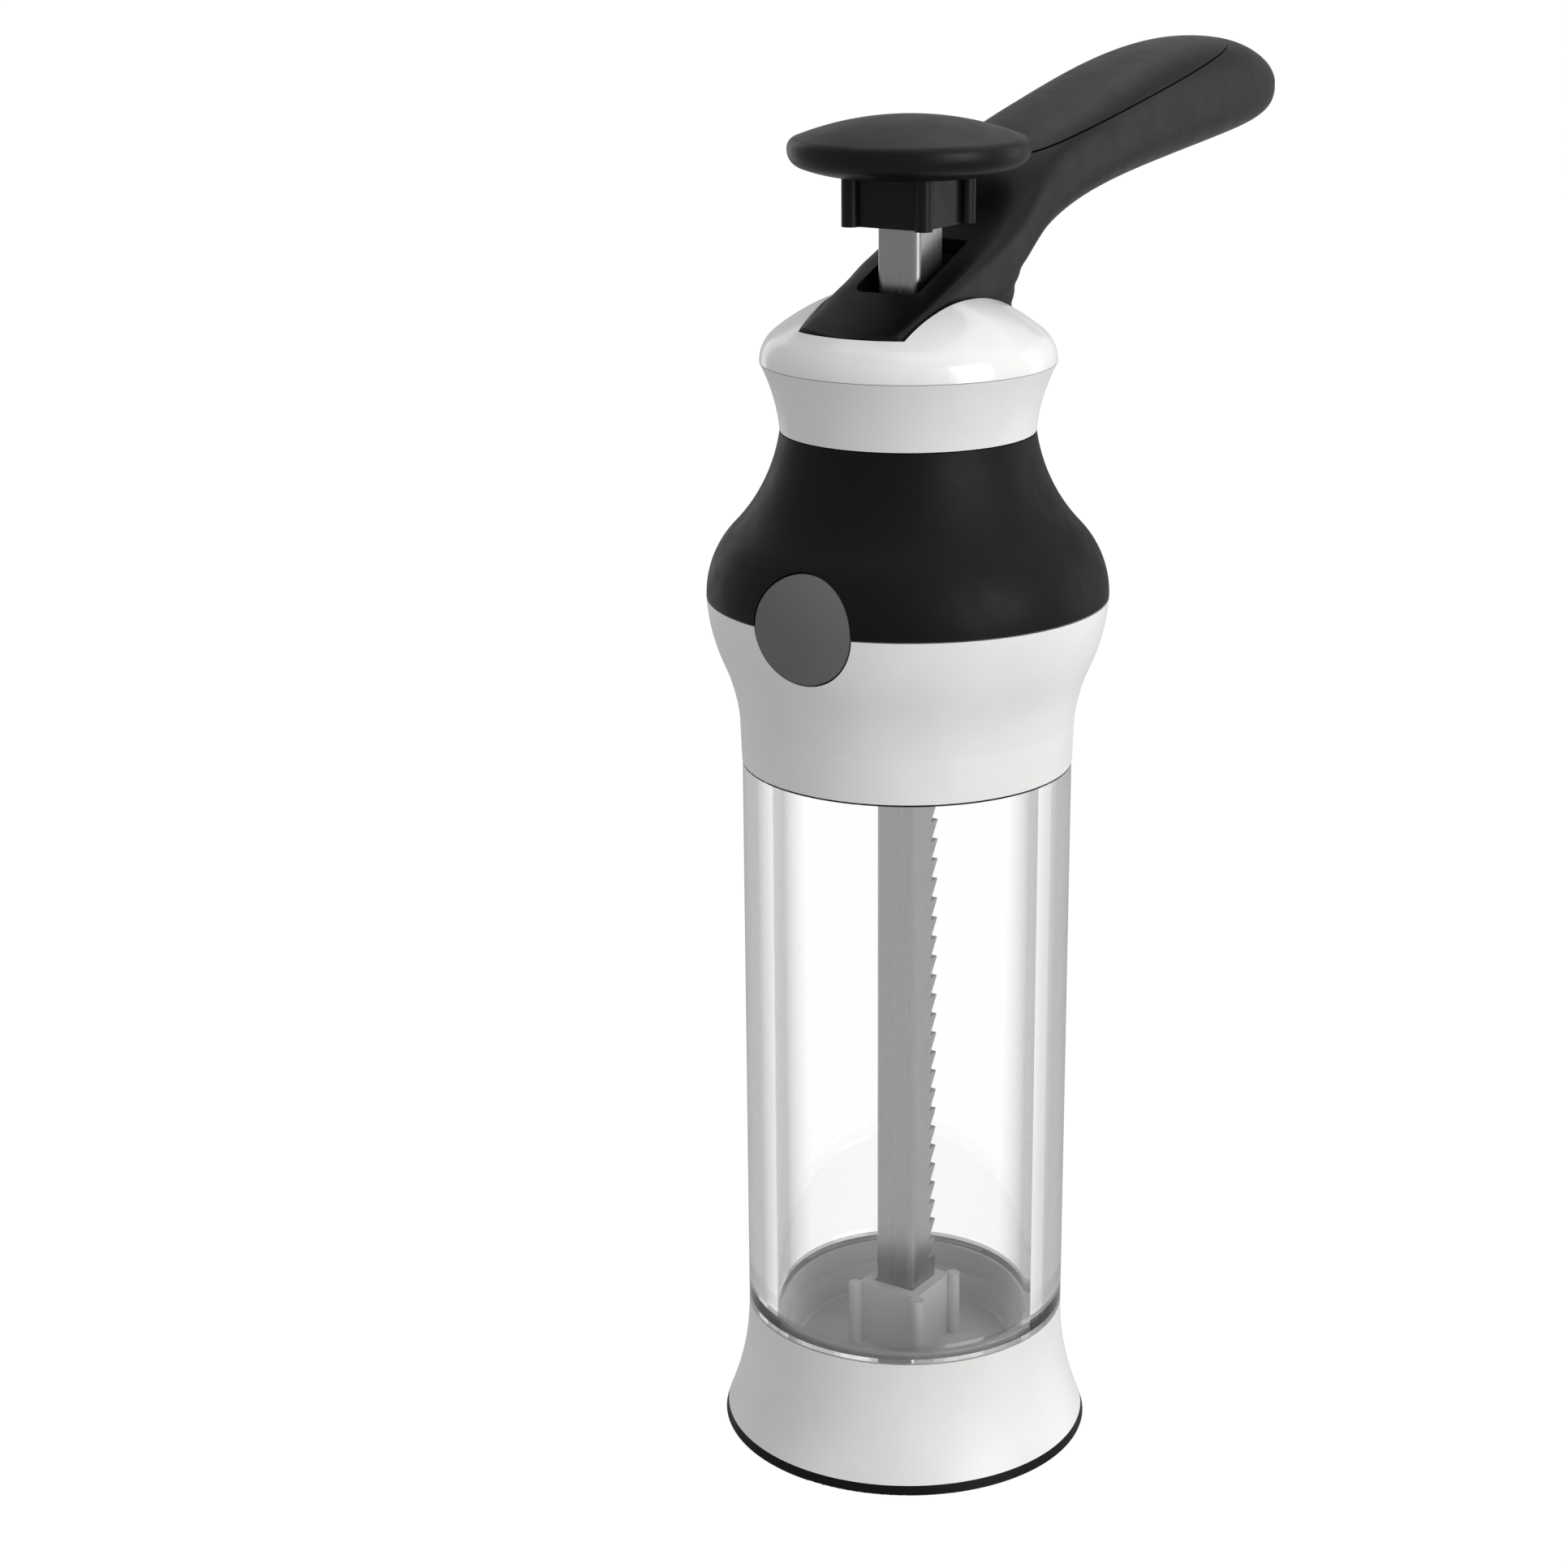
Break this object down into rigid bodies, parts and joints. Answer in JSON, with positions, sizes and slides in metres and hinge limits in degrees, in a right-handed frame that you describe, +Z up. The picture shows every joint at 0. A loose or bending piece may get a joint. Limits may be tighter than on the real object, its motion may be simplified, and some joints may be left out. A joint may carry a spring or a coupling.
{
  "type": "cookie press",
  "caption": "Lever-action cookie press: clear barrel on a white flared base, black grip, toothed rod with a round knob, and a long curved lever over a glossy dome.",
  "frame": {"origin": "on the barrel's axis, in the plane of the foot's underside", "axes": "+Z up along the barrel, -Y towards the release button, +Y towards the lever's handle"},
  "size_m": [0.0698, 0.1662, 0.2459],
  "materials": {
    "white_satin": "satin moulded",
    "white_gloss": "polished",
    "black_soft": "matte soft touch",
    "black_satin": "satin moulded",
    "core_black": "glass-filled nylon",
    "guide_white": "plain moulded",
    "clear_barrel": "clear polished",
    "smoke_plunger": "translucent grey",
    "silicone": "translucent soft",
    "grey_button": "matte moulded",
    "stainless": "satin",
    "bright_steel": "bright"
  },
  "bodies": {
    "base": {"base_ring": "white_satin", "foot_ring": "black_soft", "cookie_disc": "stainless"},
    "barrel": {"barrel": "clear_barrel", "barrel_gasket": "silicone"},
    "head": {"lower_housing": "white_satin", "grip_sleeve": "black_soft", "body_core": "core_black", "neck_collar": "white_satin", "dome_cap": "white_gloss", "lower_guide": "guide_white", "upper_guide": "guide_white", "lever_bracket": "stainless", "housing_screws": "bright_steel", "bracket_screws": "bright_steel", "pivot_pin": "bright_steel", "pivot_clips": "bright_steel", "lever_spring": "bright_steel"},
    "lever": {"lever_core": "core_black", "lever_grip": "black_satin", "lever_inlay": "black_satin", "pawl_pin": "bright_steel"},
    "pawl": {"drive_pawl": "core_black", "pawl_spring": "bright_steel"},
    "button": {"release_button": "grey_button", "release_yoke": "core_black", "button_spring": "bright_steel"},
    "rod": {"rack_rod": "stainless", "plunger": "smoke_plunger", "plunger_pin": "bright_steel", "knob_hub": "black_satin", "knob_cap": "black_satin", "knob_pin": "bright_steel", "knob_screws": "bright_steel"}
  },
  "joints": [
    {"name": "base_twist", "type": "hinge", "parent": "base", "child": "barrel", "pos_m": [0, 0, 0.02], "axis": [0, 0, 1], "range_deg": [0, 38]},
    {"name": "head_twist", "type": "hinge", "parent": "barrel", "child": "head", "pos_m": [0, 0, 0.132], "axis": [0, 0, 1], "range_deg": [-38, 0]},
    {"name": "lever_press", "type": "hinge", "parent": "head", "child": "lever", "pos_m": [0, -0.013, 0.195], "axis": [1, 0, 0], "range_deg": [-10, 0], "stiffness_Nm_per_rad": 0.4, "springref_deg": 20.05, "deforming": ["lever_spring"]},
    {"name": "pawl_swing", "type": "hinge", "parent": "lever", "child": "pawl", "pos_m": [0, 0.0102, 0.1986], "axis": [1, 0, 0], "range_deg": [0, 10]},
    {"name": "rod_slide", "type": "slide", "parent": "head", "child": "rod", "axis": [0, 0, 1], "range_m": [0, 0.108]},
    {"name": "button_press", "type": "slide", "parent": "head", "child": "button", "axis": [0, 1, 0], "range_m": [0, 0.0025], "stiffness_N_per_m": 400, "springref_m": -0.002}
  ],
  "couplings": [
    {"joint": "pawl_swing", "follows": "lever_press", "ratio": -1}
  ]
}
